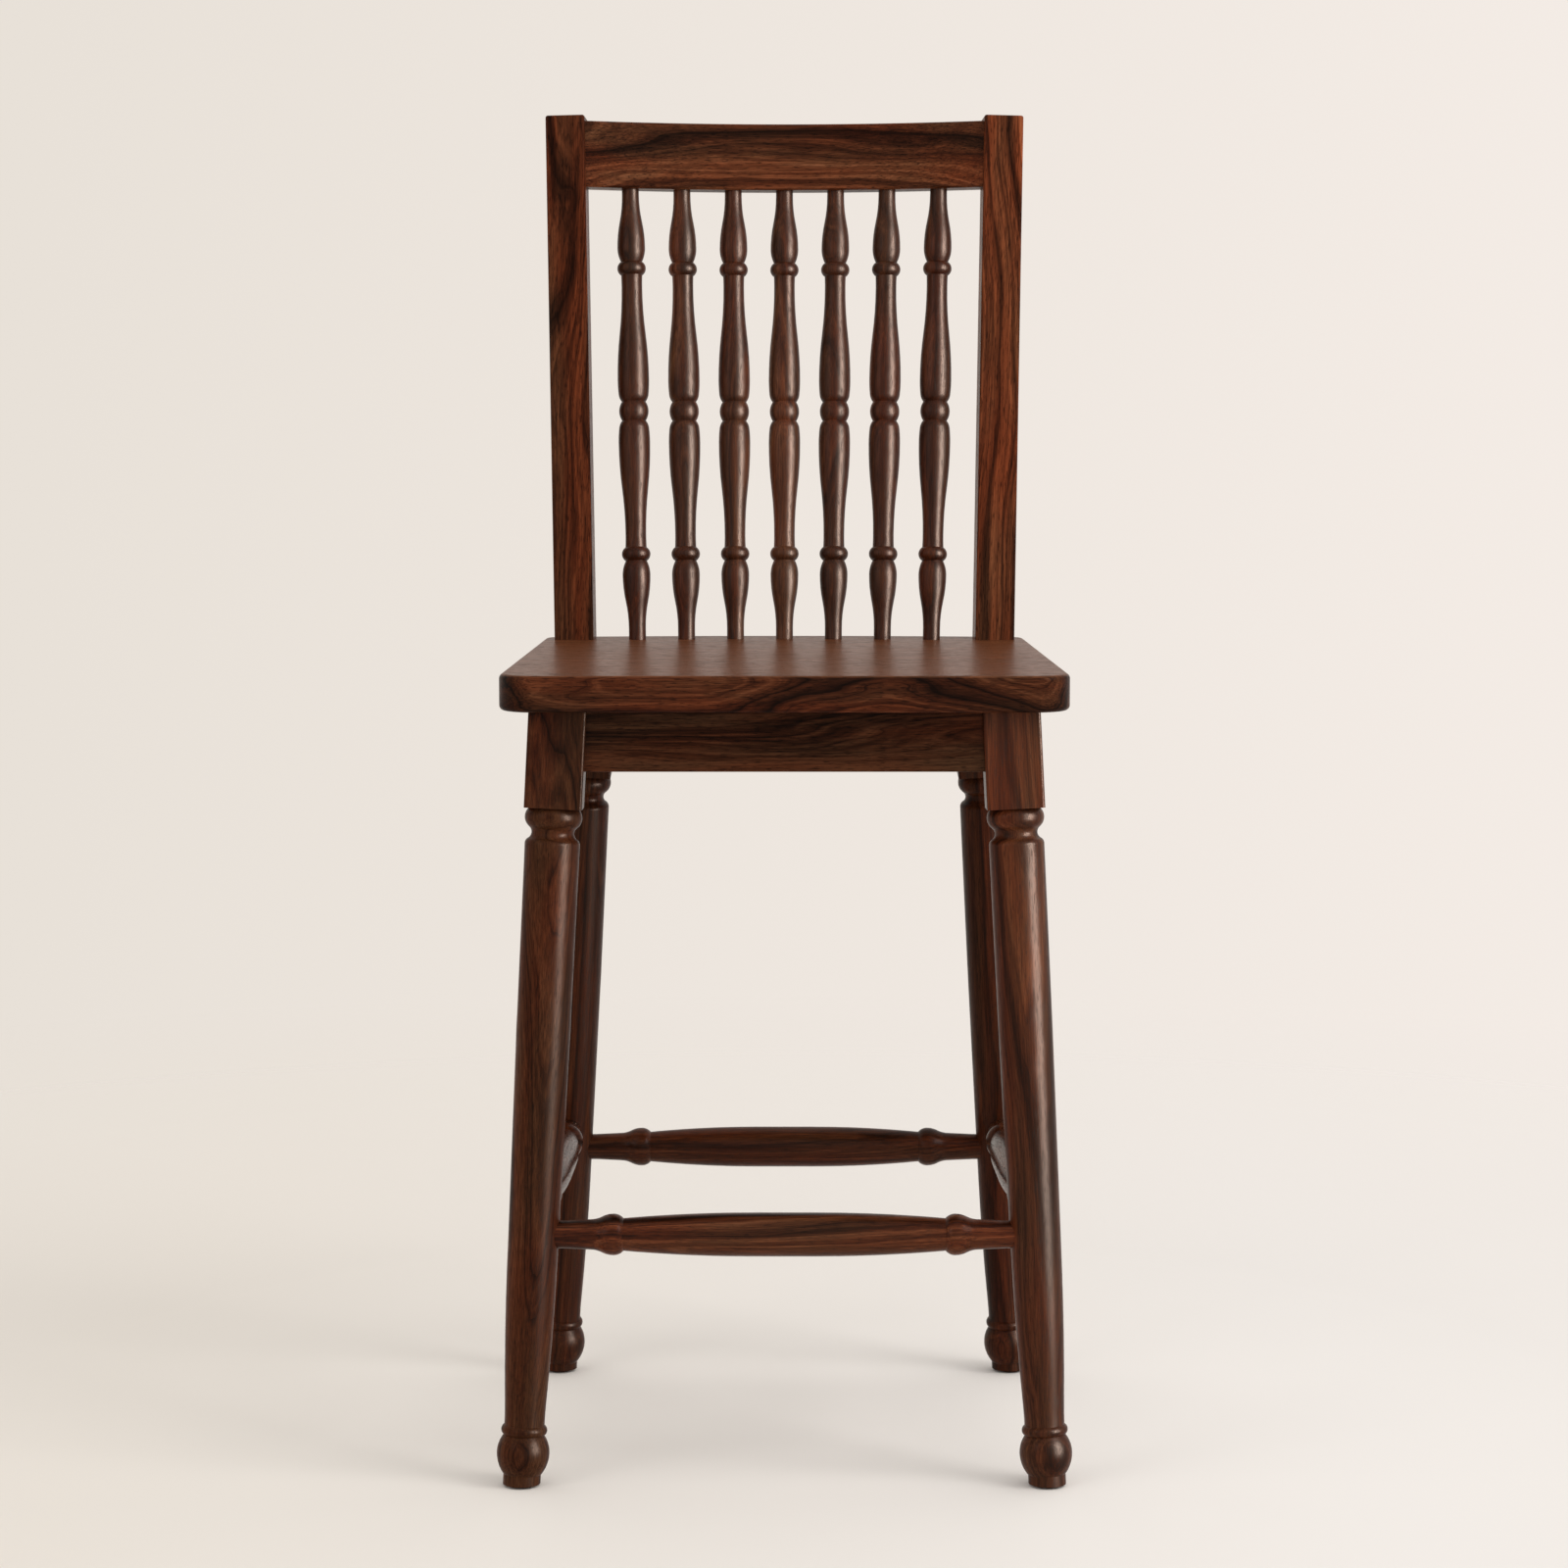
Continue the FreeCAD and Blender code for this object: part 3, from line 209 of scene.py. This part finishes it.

    # Fibres and pores shade the colour, break the lacquer's shine and stand in faint relief.
    # The tone scales the whole colour. It is the wood's own tone together with painted light and shade, set
    # piece by piece for the light each piece catches.
    darkest = (1.0 - FIBRE_CONTRAST) * tone_and_light
    palest = (1.0 + FIBRE_CONTRAST) * tone_and_light
    fibre_shade = add_range(tree, fibres, *FIBRE_EDGE, darkest, palest)
    pore_shade = add_range(tree, pores, *PORE_EDGE, 1.0, 1.0 - open_pores)
    if knot:
        core = add_range(tree, from_knot, *KNOT_CORE, KNOT_SHADE, 1.0)
        pore_shade = add_math(tree, "MULTIPLY", pore_shade, core)
    shade = add_math(tree, "MULTIPLY", fibre_shade, pore_shade)
    rough = add_range(tree, fibres, *FIBRE_EDGE, sheen + 0.05, sheen - 0.03)
    rough_pores = add_range(tree, pores, *PORE_EDGE, 0.0, PORE_ROUGHNESS)
    roughness = add_math(tree, "ADD", rough, rough_pores)
    bump = add_node(tree, "ShaderNodeBump", Strength=RELIEF_STRENGTH, Distance=RELIEF_HEIGHT, Height=shade)
    shader = add_node(tree, "ShaderNodeBsdfPrincipled", Roughness=roughness, Normal=bump.outputs[0])
    tree.links.new(add_scaled(tree, finish, shade), shader.inputs["Base Color"])
    shader.inputs["Specular IOR Level"].default_value = gloss
    add_node(tree, "ShaderNodeOutputMaterial", Surface=shader.outputs[0])
    return material


CRISP_ANGLE = math.radians(22)
JOIN_DISTANCE = 0.00002


def crisp_edges():
    """A modifier's node group that keeps true corners crisp and lets the light flow over rounded edges."""
    group = bpy.data.node_groups.new("crisp_edges", "GeometryNodeTree")
    group.interface.new_socket("Geometry", in_out="INPUT", socket_type="NodeSocketGeometry")
    group.interface.new_socket("Geometry", in_out="OUTPUT", socket_type="NodeSocketGeometry")
    shape = add_node(group, "NodeGroupInput").outputs[0]
    angle = add_node(group, "GeometryNodeInputMeshEdgeAngle").outputs[0]
    rounded = add_node(group, "FunctionNodeCompare", {"operation": "LESS_THAN"}, i0=angle, i1=CRISP_ANGLE)
    faces = add_node(group, "GeometryNodeSetShadeSmooth", {"domain": "FACE"}, i0=shape, i2=True)
    edges = add_node(group, "GeometryNodeSetShadeSmooth", {"domain": "EDGE"}, i0=faces.outputs[0],
                     i2=rounded.outputs[0])
    add_node(group, "NodeGroupOutput", i0=edges.outputs[0])
    return group


edge_group = crisp_edges()


def dress(node_name, material):
    """Gives a piece its finish, and joins its faces so that a rounded edge shades without a step."""
    piece = nodes[node_name]
    piece.data.materials.clear()
    piece.data.materials.append(material)
    piece.modifiers.new("joined", "WELD").merge_threshold = JOIN_DISTANCE
    piece.modifiers.new("crisp_edges", "NODES").node_group = edge_group
    piece.modifiers.new("even_shading", "WEIGHTED_NORMAL").keep_sharp = True


def grain_of(node_name, along):
    """The middle of a piece and the way its grain runs."""
    low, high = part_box(node_name)
    return (low + high) / 2, Vector(along).normalized()


LEG_SPLAY = math.tan(math.radians(2.9))
LEG_RAKE = {"front": math.tan(math.radians(3.3)), "rear": -math.tan(math.radians(5.25))}
LEG_HEARTS = {
    "front_left": (0.010, -0.010, 0.20),
    "front_right": (-0.048, 0.07, 0.0),
    "rear_left": (0.09, -0.03, 0.0),
    "rear_right": (-0.05, -0.08, 0.0),
}
LEG_GRAIN_TILT = {
    "front_left": (0.0, 0.07),
    "front_right": (0.0, 0.0),
    "rear_left": (0.02, -0.03),
    "rear_right": (0.02, -0.03),
}
LEG_WOOD = {
    "front_left": {"tone_and_light": 0.7, "figure": 1.15, "lines": 0.16, "gloss": 0.045},
    "front_right": {"tone_and_light": 1.2, "figure": 0.9, "lines": 0.05, "gloss": 0.08},
    "rear_left": {"tone_and_light": 0.9, "figure": 1.1, "lines": 0.07, "gloss": 0.06},
    "rear_right": {"tone_and_light": 0.9, "figure": 1.1, "lines": 0.07, "gloss": 0.06},
}
for corner, wood in LEG_WOOD.items():
    row, side = corner.split("_")
    lean = LEG_SPLAY if side == "left" else -LEG_SPLAY
    tilt_across, tilt_along = LEG_GRAIN_TILT[corner]
    middle, grain = grain_of(f"leg_{corner}", (lean + tilt_across, LEG_RAKE[row] + tilt_along, 1.0))
    heart = middle + Vector(LEG_HEARTS[corner])
    dress(f"leg_{corner}", walnut(f"leg_walnut_{corner}", heart, grain, sheen=0.3, sway=9.0,
                                  open_pores=0.4, **wood))


# Aprons: four straight walnut boards under the seat that tie the legs together. They are sawn and planed,
# with the grain lengthwise and a tenon at each end glued into the leg blocks. Their colour is set much darker
# than the legs', a painted shade for the seat's shadow over them, and their figure is stronger than the
# legs'.

for name, along, heart in (
        ("apron_front", (1, 0, 0.02), (0, 0.03, 0.05)),
        ("apron_rear", (1, 0, -0.02), (0, -0.04, 0.06)),
        ("apron_left", (0.02, 1, 0.02), (0.05, 0, 0.05)),
        ("apron_right", (-0.02, 1, 0.02), (-0.05, 0, 0.06))):
    middle, grain = grain_of(name, along)
    # The low tone is painted shade for the seat over the aprons.
    dress(name, walnut(f"{name}_walnut", middle + Vector(heart), grain, tone_and_light=0.45, band=0.055, figure=2.6))


# Corner blocks: four plain walnut braces set across the inside corners of the aprons, out of sight.
# They are sawn to fit, glued and screwed, left in the same stain, and the seat is screwed down
# through them.

BLOCK_HEART = Vector((0.03, 0.02, 0.05))
BLOCK_GRAIN = {
    "front_left": (1, 1, 0),
    "front_right": (1, -1, 0),
    "rear_left": (1, -1, 0),
    "rear_right": (1, 1, 0),
}
for corner, along in BLOCK_GRAIN.items():
    middle, grain = grain_of(f"corner_block_{corner}", along)
    dress(f"corner_block_{corner}", walnut(f"corner_block_walnut_{corner}", middle + BLOCK_HEART, grain))


# Stretchers: four rails turned from walnut, thickest in the middle and with a knob near each end.
# Their round ends are glued into sockets in the legs, and the front one serves as the footrest.

for name, along, heart in (
        ("stretcher_front", (1, 0.01, 0.008), (0, 0.07, 0.10)),
        ("stretcher_rear", (1, -0.01, 0.006), (0, 0.04, -0.06)),
        ("stretcher_left", (0.03, 1, 0.01), (0.05, 0, 0.05)),
        ("stretcher_right", (-0.03, 1, 0.01), (-0.05, 0, 0.06))):
    middle, grain = grain_of(name, along)
    dress(name, walnut(f"{name}_walnut", middle + Vector(heart), grain, tone_and_light=1.0, sheen=0.24, gloss=0.085,
                       sway=11.0, open_pores=0.45))


# Seat: one thick flat walnut panel with its grain from side to side and its edges eased by hand. It is
# screwed down from below through the corner blocks. Its upward faces are painted in a paler, more even
# walnut: painted light from above and painted sheen on the top.

SEAT_HEART = Vector((0, -0.27, 0.05))
middle, grain = grain_of("seat", (1, 0.03, 0.0))
dress("seat", walnut("seat_walnut", middle + SEAT_HEART, grain, tone_and_light=0.8, band=0.016, sheen=0.3, gloss=0.05,
                     figure=1.1, lines=0.18, top_light=0.58, sway=3.2))


# Back posts: two square walnut uprights that lean back and splay a little, tenoned and screwed to the
# seat from below. The grain runs up each post at a slight slant, and the left one has a small knot
# near the top.

POST_LEAN = math.tan(math.radians(6.0))
POST_SPLAY = 0.0175
POST_GRAIN_SLANT = 0.03
# The posts' tones, and the right post's more than the left's, are raised as painted light: on top of the
# wood's own tone, they stand for the light the posts catch.
POST_WOOD = {
    "left": (-POST_SPLAY, (0.05, 0.06, 0), {"tone_and_light": 1.6, "knot": (-0.188, 0.200, 1.043)}),
    "right": (POST_SPLAY, (-0.07, 0.04, 0), {"tone_and_light": 2.4}),
}
for side, (splay, heart, wood) in POST_WOOD.items():
    middle, grain = grain_of(f"back_post_{side}", (splay + POST_GRAIN_SLANT, POST_LEAN, 1.0))
    dress(f"back_post_{side}", walnut(f"back_post_walnut_{side}", middle + Vector(heart), grain,
                                      lines=0.1, **wood))


# Crest rail: one walnut board between the posts, bowed to the sitter's back and leaning with the posts.
# It is sawn to its curve and planed, with its grain from side to side and a tenon in each post, and
# the spindles' tops sit in sockets along its underside.

RAIL_HEART = Vector((0, 0.05, -0.13))
middle, grain = grain_of("crest_rail", (1, 0.01, 0.02))
dress("crest_rail", walnut("crest_rail_walnut", middle + RAIL_HEART, grain, tone_and_light=1.4, gloss=0.045, sway=11.0))


# Spindles: seven slender walnut turnings between seat and rail, alike above and below a middle bead.
# Each is turned from its own stick, so the figure differs from one to the next, and the lathe work
# takes a brighter polish than the flat boards.

SPINDLE_HEARTS = (
    (0.03, 0.05),
    (-0.04, 0.03),
    (0.05, -0.02),
    (-0.03, -0.05),
    (0.06, 0.03),
    (-0.05, 0.04),
    (0.04, 0.05),
)
SPINDLE_FAN = 0.006
SPINDLE_LEAN = 0.11
MIDDLE_SPINDLE = 4
for number, (heart_across, heart_along) in enumerate(SPINDLE_HEARTS, start=1):
    fanned = SPINDLE_FAN * (number - MIDDLE_SPINDLE)
    middle, grain = grain_of(f"spindle_{number}", (fanned, SPINDLE_LEAN, 1.0))
    heart = middle + Vector((heart_across, heart_along, 0))
    dress(f"spindle_{number}", walnut(f"spindle_walnut_{number}", heart, grain, tone_and_light=1.05, sheen=0.34,
                                      gloss=0.115, figure=0.95, open_pores=0.3))


# Glides: four flat discs of dark brown nylon with a bevelled rim, nailed under the feet. They come dull
# from the mould, with a fine speckle.

SPECKLE_EDGE = (0.3, 0.7)
SPECKLE_HEIGHT = 0.0002


def speckled(name, dark, pale, fineness, detail, dull, relief, metal):
    """A plain finish with a fine speckle in its colour, shine and relief."""
    material, tree = bare_material(name)
    spot = add_node(tree, "ShaderNodeTexCoord").outputs["Object"]
    speckle = add_node(tree, "ShaderNodeTexNoise", Vector=spot, Scale=fineness, Detail=detail).outputs[0]
    colour = add_ramp(tree, speckle, ((SPECKLE_EDGE[0], dark), (SPECKLE_EDGE[1], pale)))
    roughness = add_range(tree, speckle, *SPECKLE_EDGE, *dull)
    bump = add_node(tree, "ShaderNodeBump", Strength=relief, Distance=SPECKLE_HEIGHT, Height=speckle)
    shader = add_node(tree, "ShaderNodeBsdfPrincipled", Metallic=metal, Roughness=roughness,
                      Normal=bump.outputs[0])
    tree.links.new(colour, shader.inputs["Base Color"])
    add_node(tree, "ShaderNodeOutputMaterial", Surface=shader.outputs[0])
    return material


nylon = speckled("glide_nylon", dark=(0.012, 0.009, 0.007), pale=(0.022, 0.017, 0.013), fineness=1800.0,
                 detail=2.0, dull=(0.5, 0.65), relief=0.15, metal=0.0)
for corner in LEG_WOOD:
    dress(f"glide_{corner}", nylon)


# Screws: zinc plated steel wood screws with countersunk heads, driven from below and from inside, so
# that none shows from above. They hold the seat, the corner blocks and the posts.

steel = speckled("plated_steel", dark=(0.33, 0.31, 0.26), pale=(0.5, 0.47, 0.4), fineness=900.0,
                 detail=3.0, dull=(0.28, 0.45), relief=0.1, metal=1.0)
for name in ("seat_screws", "corner_block_screws", "post_screws"):
    dress(name, steel)


# Floor: a pale cream studio sweep, painted dull. Its colour runs from darker on the left to paler on the
# right, painted light from the lamps on the right, and it is a little lighter where the stool stands, a
# painted pool of light against the shade under the stool. It fades into the backdrop all round and is open
# from below, so that the underside can be seen.

FLOOR_RADIUS = 6.0
# The floor's colour from left to right: painted shade on the left and painted light on the right, for the
# lamps on the right.
FLOOR_SHADED_LEFT = (0.850, 0.797, 0.732)
FLOOR_LIT_RIGHT = (0.882, 0.846, 0.814)
FLOOR_LIGHT_TURN = (-0.6, 0.5)
FLOOR_FADE = (0.7, 2.3)
# The floor is painted up to 12 % lighter near the stool: a painted pool of light against the shade under the
# seat.
LIGHT_POOL_REACH = 0.75
LIGHT_POOL_MIDDLE = 1.12
LIGHT_POOL_EDGE = 0.99

floor_mesh = bpy.data.meshes.new("floor")
floor_shape = bmesh.new()
bmesh.ops.create_circle(floor_shape, cap_ends=True, segments=96, radius=FLOOR_RADIUS)
floor_shape.to_mesh(floor_mesh)
floor_shape.free()
floor = bpy.data.objects.new("floor", floor_mesh)
bpy.context.scene.collection.objects.link(floor)

floor_material, tree = bare_material("floor_cream")
spot = add_node(tree, "ShaderNodeTexCoord").outputs["Object"]
distance = add_vector_math(tree, "LENGTH", spot)
fade = add_range(tree, distance, *FLOOR_FADE, 0.0, 1.0)
across = add_node(tree, "ShaderNodeSeparateXYZ", i0=spot).outputs[0]
# Painted light: the floor pales from left to right.
light_turn = add_range(tree, across, *FLOOR_LIGHT_TURN, 0.0, 1.0)
cream = add_ramp(tree, light_turn, ((0.0, FLOOR_SHADED_LEFT), (1.0, FLOOR_LIT_RIGHT)))
# Painted pool of light around the stool.
light_pool = add_range(tree, distance, 0.0, LIGHT_POOL_REACH, LIGHT_POOL_MIDDLE, LIGHT_POOL_EDGE)
paint = add_node(tree, "ShaderNodeBsdfDiffuse", Color=add_scaled(tree, cream, light_pool))
clear = add_node(tree, "ShaderNodeBsdfTransparent")
facing = add_node(tree, "ShaderNodeNewGeometry")
open_below = add_math(tree, "MAXIMUM", fade, facing.outputs["Backfacing"])
mixed = add_node(tree, "ShaderNodeMixShader", i0=open_below, i1=paint.outputs[0], i2=clear.outputs[0])
add_node(tree, "ShaderNodeOutputMaterial", Surface=mixed.outputs[0])
floor.data.materials.append(floor_material)


# Light: a large soft box high on the right, a weak one on the left and a pale room that is brighter on
# the right. A warm strip box adds only the shine on legs and spindles: it lights no dull surface, and
# is kept off the flat pieces, which would glare white at a low angle.

STOOL_MIDDLE = (0, 0, 0.6)
STRIP_AIM = (0, 0, 0.8)
STRIP_COLOUR = (1.0, 0.78, 0.64)
CREAM_LEFT = (0.800, 0.745, 0.680)
CREAM_RIGHT = (0.905, 0.840, 0.790)
BACKDROP_TURN = (-0.2, 0.2)
ROOM_COLOUR = (1.0, 0.98, 0.955, 1.0)
ROOM_LEFT = 0.58
ROOM_RIGHT = 1.16


def soft_box(name, place, aim, width, height, power):
    """A rectangular studio lamp, aimed at the stool."""
    lamp = bpy.data.lights.new(name, "AREA")
    lamp.shape = "RECTANGLE"
    lamp.size = width
    lamp.size_y = height
    lamp.energy = power
    box = bpy.data.objects.new(name, lamp)
    box.location = place
    box.rotation_euler = (Vector(aim) - Vector(place)).to_track_quat("-Z", "Y").to_euler()
    bpy.context.scene.collection.objects.link(box)
    return box


soft_box("key_box", (4.4, -2.4, 3.9), STOOL_MIDDLE, width=2.6, height=2.6, power=90.0)
strip_box = soft_box("strip_box", (3.4, -2.2, 1.3), STRIP_AIM, width=2.0, height=3.0, power=1250.0)
strip_box.data.color = STRIP_COLOUR
strip_box.visible_diffuse = False
upright_turnings = bpy.data.collections.new("upright_turnings")
for name, piece in nodes.items():
    if name.startswith(("leg_", "spindle_")):
        upright_turnings.objects.link(piece)
strip_box.light_linking.receiver_collection = upright_turnings
soft_box("fill_box", (-3.6, -3.4, 2.4), STOOL_MIDDLE, width=2.0, height=2.0, power=20.0)

# The backdrop is what the camera, mirrors and glass see of the room.
world = bpy.data.worlds.new("pale_room")
bpy.context.scene.world = world
world.use_nodes = True
tree = world.node_tree
tree.nodes.clear()
spot = add_node(tree, "ShaderNodeTexCoord").outputs["Generated"]
across = add_node(tree, "ShaderNodeSeparateXYZ", i0=spot).outputs[0]
sweep = add_range(tree, across, *BACKDROP_TURN, 0.0, 1.0)
backdrop = add_ramp(tree, sweep, ((0.0, CREAM_LEFT), (1.0, CREAM_RIGHT)))
seen = add_node(tree, "ShaderNodeBackground", Color=backdrop, Strength=1.0)
window_side = add_range(tree, across, -1.0, 1.0, ROOM_LEFT, ROOM_RIGHT)
room = add_node(tree, "ShaderNodeBackground", Color=ROOM_COLOUR, Strength=window_side)
rays = add_node(tree, "ShaderNodeLightPath").outputs
mirror_rays = add_math(tree, "MAXIMUM", rays["Is Glossy Ray"], rays["Is Transmission Ray"])
shown = add_math(tree, "MAXIMUM", rays["Is Camera Ray"], mirror_rays)
either = add_node(tree, "ShaderNodeMixShader", i0=shown, i1=room.outputs[0], i2=seen.outputs[0])
add_node(tree, "ShaderNodeOutputWorld", Surface=either.outputs[0])


# Camera: straight in front of the stool, a little above the seat and tipped down, with a long lens.
# Place, tilt and lens are those that fit the picture's perspective.

CAMERA_PLACE = (-0.0004, -3.6281, 0.9455)
CAMERA_TIP = 6.246
CAMERA_LENS = 98.68
CAMERA_SENSOR = 36.0

camera_data = bpy.data.cameras.new("camera")
camera_data.lens = CAMERA_LENS
camera_data.sensor_width = CAMERA_SENSOR
camera = bpy.data.objects.new("camera", camera_data)
camera.location = CAMERA_PLACE
camera.rotation_euler = (math.radians(90 - CAMERA_TIP), 0.0, 0.0)
bpy.context.scene.collection.objects.link(camera)
bpy.context.scene.camera = camera
bpy.context.scene.view_settings.view_transform = "Standard"
